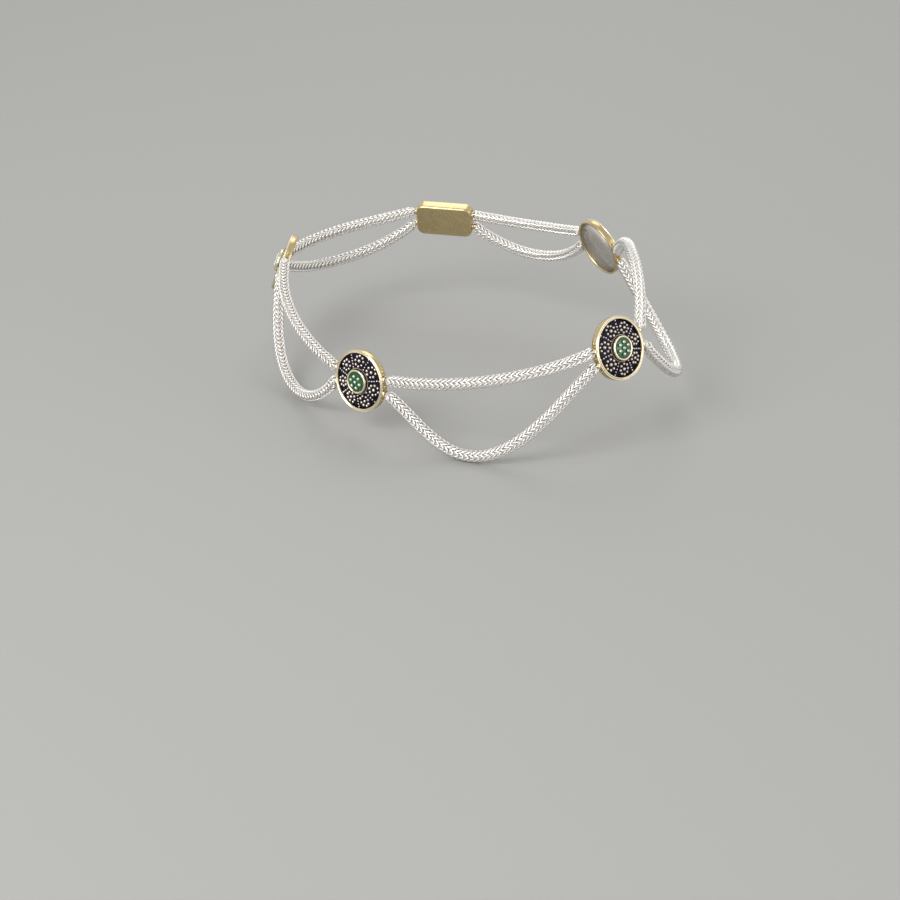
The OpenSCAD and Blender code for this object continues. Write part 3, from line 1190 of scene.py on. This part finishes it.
def add_floor(scene, studio):
    """Wide level floor, just below the lowest point of the anklet."""
    low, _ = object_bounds()
    bm = bmesh.new()
    spot = Matrix.Translation((0, 0, low.z - FLOOR_GAP))
    bmesh.ops.create_grid(bm, x_segments=1, y_segments=1, size=FLOOR_SIZE, matrix=spot)
    mesh = bpy.data.meshes.new("floor")
    bm.to_mesh(mesh)
    bm.free()
    floor = bpy.data.objects.new("floor", mesh)
    scene.collection.objects.link(floor)
    floor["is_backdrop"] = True
    shader = Shader("pale_floor")
    shader.set(Base_Color=(*studio.floor, 1), Roughness=0.7)
    mesh.materials.append(shader.material)


def add_light(scene, name, position, power, size):
    """Round light that shines at the middle of the loop."""
    data = bpy.data.lights.new(name, "AREA")
    data.shape = "DISK"
    data.size = size
    data.energy = power
    light = bpy.data.objects.new(name, data)
    light.location = position
    light.rotation_euler = (-Vector(position)).to_track_quat("-Z", "Y").to_euler()
    scene.collection.objects.link(light)


def add_sky(scene, studio):
    """Even light from all round, a little stronger from the sides."""
    world = bpy.data.worlds.new("soft_sky")
    world.use_nodes = True
    nodes, links = world.node_tree.nodes, world.node_tree.links
    background = nodes["Background"]
    background.inputs["Strength"].default_value = studio.sky
    split = nodes.new("ShaderNodeSeparateXYZ")
    links.new(nodes.new("ShaderNodeTexCoord").outputs["Generated"], split.inputs["Vector"])
    heights = nodes.new("ShaderNodeValToRGB")
    links.new(split.outputs["Z"], heights.inputs["Fac"])
    for element, (at, level) in zip(heights.color_ramp.elements, SKY_LEVELS):
        element.position = at
        element.color = (*(level * tint for tint in SKY_TINT), 1)
    links.new(heights.outputs["Color"], background.inputs["Color"])
    scene.world = world


def add_camera(scene, studio):
    """Camera that looks down at the front of the loop."""
    data = bpy.data.cameras.new("camera")
    data.sensor_width = 36
    data.lens = studio.lens
    data.clip_start, data.clip_end = 0.01, 10
    camera = bpy.data.objects.new("camera", data)
    back = Vector((0, -math.cos(studio.tilt), math.sin(studio.tilt)))
    up = Vector((0, math.sin(studio.tilt), math.cos(studio.tilt)))
    camera.location = back * studio.distance + Vector((studio.side_step, 0, 0)) + up * studio.rise
    camera.rotation_euler = (math.pi / 2 - studio.tilt, 0, 0)
    scene.collection.objects.link(camera)
    scene.camera = camera


class ANKLET_OT_stage(bpy.types.Operator):
    """Set the pale floor, the soft lights and the camera"""

    bl_idname = "anklet.stage"
    bl_label = "Stage"

    def execute(self, context):
        scene = context.scene
        studio = scene.anklet_studio
        add_floor(scene, studio)
        add_light(scene, "key", (-0.34, -0.38, 0.40), studio.key_power, 0.36)
        add_light(scene, "fill", (0.52, -0.28, 0.17), studio.fill_power, 0.40)
        add_light(scene, "back", (0.05, 0.45, 0.45), studio.fill_power, 0.40)
        add_light(scene, "front", (-0.38, -0.50, 0.02), studio.front_power, 0.50)
        add_sky(scene, studio)
        add_camera(scene, studio)
        scene.view_settings.view_transform = "Standard"
        return {"FINISHED"}


class ANKLET_PT_panel(bpy.types.Panel):
    """Lists the pieces of the anklet"""

    bl_idname = "ANKLET_PT_panel"
    bl_label = "Anklet"
    bl_space_type = "VIEW_3D"
    bl_region_type = "UI"
    bl_category = "Anklet"

    def draw(self, context):
        for operator in OPERATORS:
            self.layout.operator(operator.bl_idname)
        for setting in SETTINGS:
            group = getattr(context.scene, setting)
            box = self.layout.box()
            for name in group.__annotations__:
                box.prop(group, name)


SETTINGS = {
    "anklet_chain": ChainSettings,
    "anklet_grains": GranulationSettings,
    "anklet_finish": FinishSettings,
    "anklet_studio": StudioSettings,
}
OPERATORS = (
    ANKLET_OT_chain,
    ANKLET_OT_walls,
    ANKLET_OT_plates,
    ANKLET_OT_enamel,
    ANKLET_OT_clasp,
    ANKLET_OT_stage,
)
CLASSES = (*SETTINGS.values(), *OPERATORS, ANKLET_PT_panel)


def register():
    for cls in CLASSES:
        bpy.utils.register_class(cls)
    for name, cls in SETTINGS.items():
        setattr(bpy.types.Scene, name, PointerProperty(type=cls))


def unregister():
    for name in SETTINGS:
        delattr(bpy.types.Scene, name)
    for cls in reversed(CLASSES):
        bpy.utils.unregister_class(cls)


def main():
    """Builds the anklet and its stage."""
    register()
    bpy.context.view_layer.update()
    bpy.ops.anklet.chain()
    bpy.ops.anklet.walls()
    bpy.ops.anklet.plates()
    bpy.ops.anklet.enamel()
    bpy.ops.anklet.clasp()
    bpy.ops.anklet.stage()


if __name__ == "__main__":
    main()
